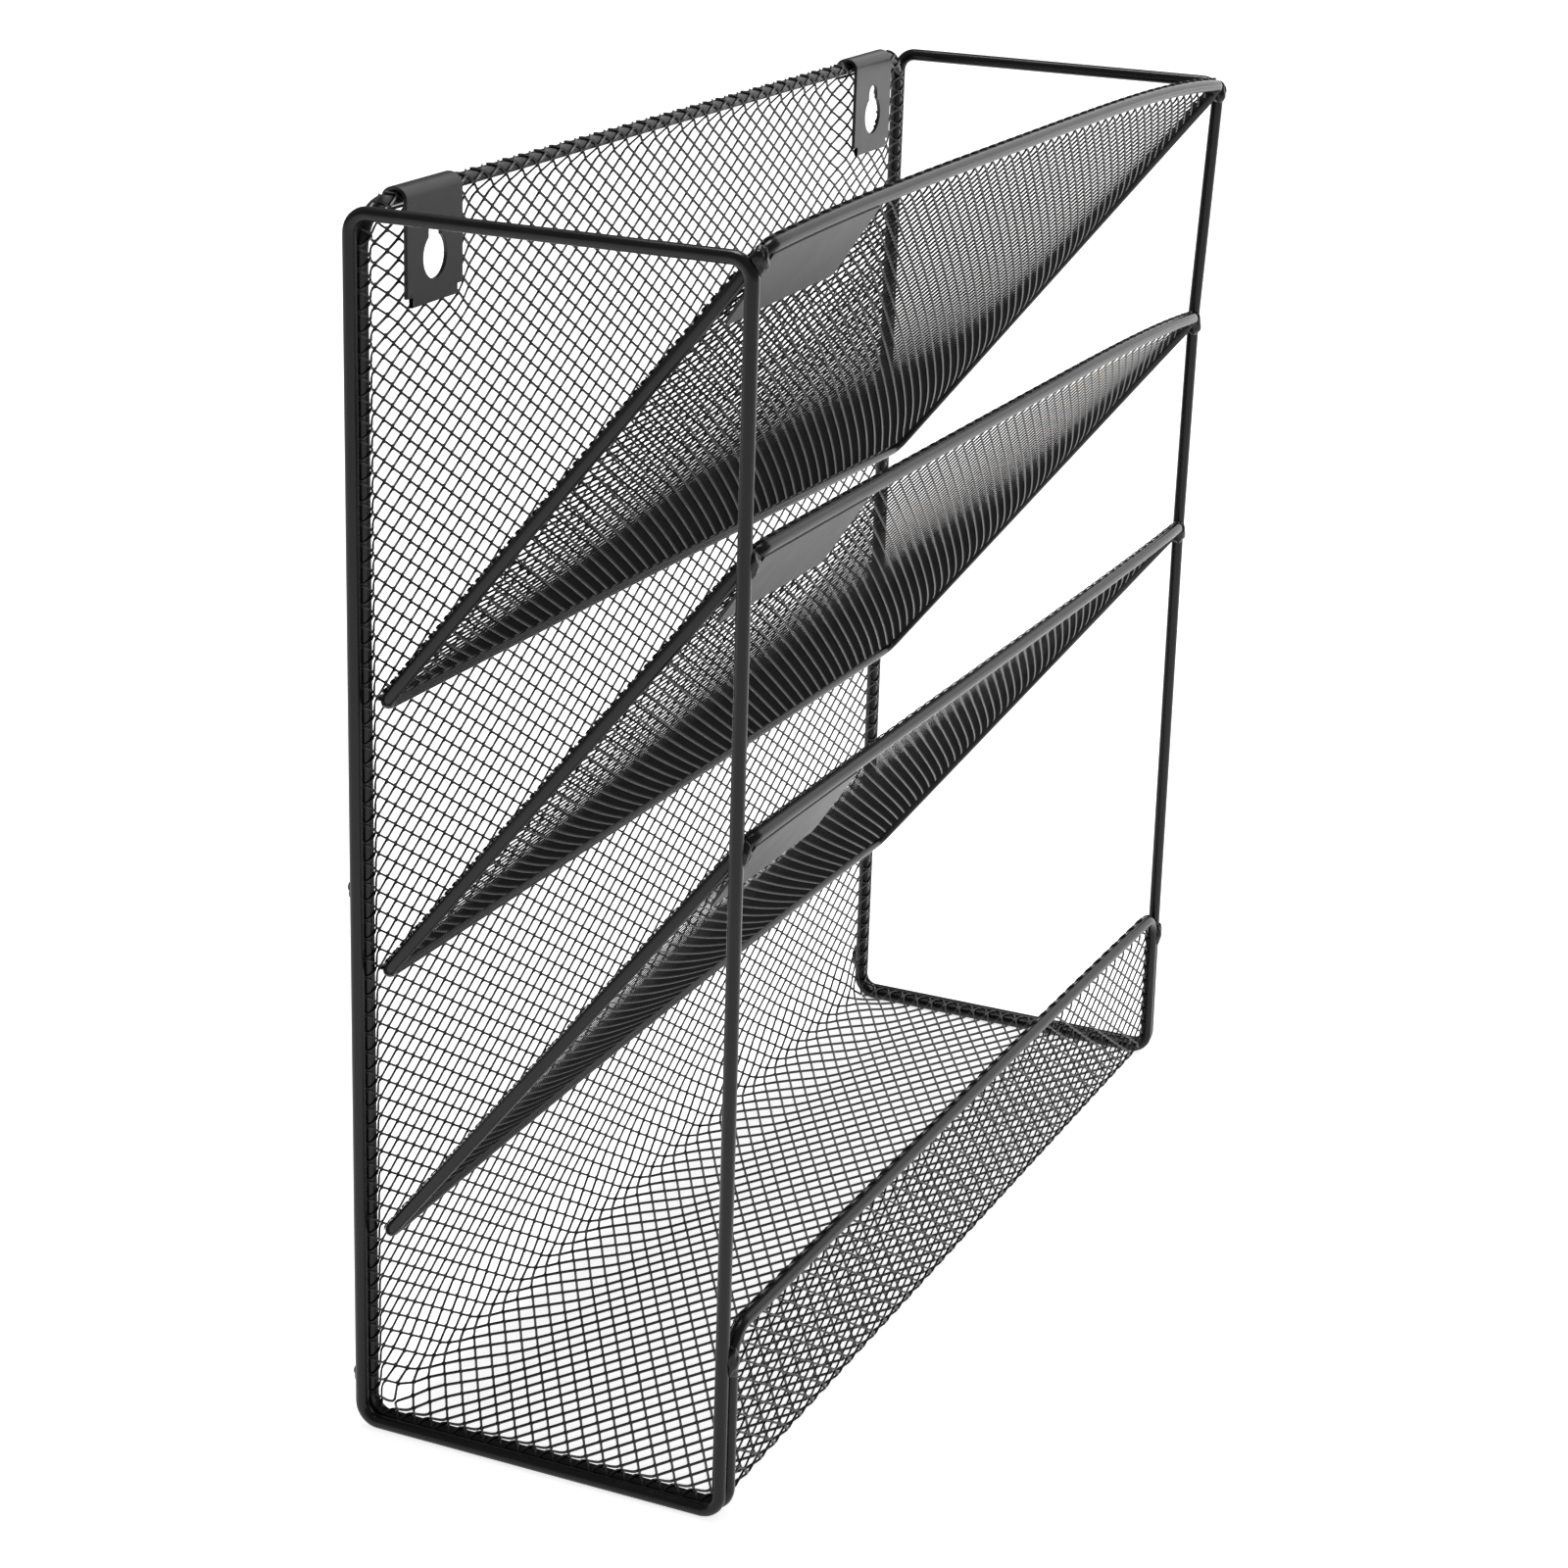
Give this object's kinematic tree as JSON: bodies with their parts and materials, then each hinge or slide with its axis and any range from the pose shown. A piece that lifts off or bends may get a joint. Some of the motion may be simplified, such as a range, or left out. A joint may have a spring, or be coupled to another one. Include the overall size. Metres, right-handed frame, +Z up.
{
  "type": "hanging file rack",
  "caption": "Wall-hung wire file rack: slanted expanded-metal pockets above a lipped mesh tray, between rectangular wire side loops, with keyhole hang tabs and label plates.",
  "frame": {"origin": "middle of the bounding box at the bottom of the side loops, where the rack stands", "axes": "+X to the right along the pockets, +Y back towards the wall, +Z up"},
  "size_m": [0.33, 0.1075, 0.3203],
  "materials": {
    "wire_paint": "satin black powder coat",
    "mesh_paint": "satin black powder coat on expanded metal",
    "tab_paint": "satin black powder coat on sheet",
    "label_paint": "smooth satin black powder coat on sheet",
    "weld_paint": "satin black powder coat on weld beads"
  },
  "bodies": {
    "root": {"back_mesh": "mesh_paint", "base_mesh": "mesh_paint", "body_base_rail_left": "wire_paint", "body_base_rail_right": "wire_paint", "body_lip_post_left": "wire_paint", "body_lip_post_right": "wire_paint", "body_lip_rail": "wire_paint", "body_top_rail": "wire_paint", "body_upright_left": "wire_paint", "body_upright_right": "wire_paint", "hang_tab_left": "tab_paint", "hang_tab_right": "tab_paint", "lip_mesh": "mesh_paint", "loop_left_back_post": "wire_paint", "loop_left_bottom_bar": "wire_paint", "loop_left_front_post": "wire_paint", "loop_left_top_bar": "wire_paint", "loop_right_back_post": "wire_paint", "loop_right_bottom_bar": "wire_paint", "loop_right_front_post": "wire_paint", "loop_right_top_bar": "wire_paint", "pocket_1_bottom_rim": "wire_paint", "pocket_1_front_rim": "wire_paint", "pocket_1_label": "label_paint", "pocket_1_mesh": "mesh_paint", "pocket_1_side_rim_left": "wire_paint", "pocket_1_side_rim_right": "wire_paint", "pocket_2_bottom_rim": "wire_paint", "pocket_2_front_rim": "wire_paint", "pocket_2_label": "label_paint", "pocket_2_mesh": "mesh_paint", "pocket_2_side_rim_left": "wire_paint", "pocket_2_side_rim_right": "wire_paint", "pocket_3_bottom_rim": "wire_paint", "pocket_3_front_rim": "wire_paint", "pocket_3_label": "label_paint", "pocket_3_mesh": "mesh_paint", "pocket_3_side_rim_left": "wire_paint", "pocket_3_side_rim_right": "wire_paint", "weld_back_lower_left": "weld_paint", "weld_back_lower_right": "weld_paint", "weld_back_upper_left": "weld_paint", "weld_back_upper_right": "weld_paint", "weld_lip_left": "weld_paint", "weld_lip_right": "weld_paint", "weld_pocket_1_left": "weld_paint", "weld_pocket_1_right": "weld_paint", "weld_pocket_2_left": "weld_paint", "weld_pocket_2_right": "weld_paint", "weld_pocket_3_left": "weld_paint", "weld_pocket_3_right": "weld_paint"}
  },
  "joints": []
}
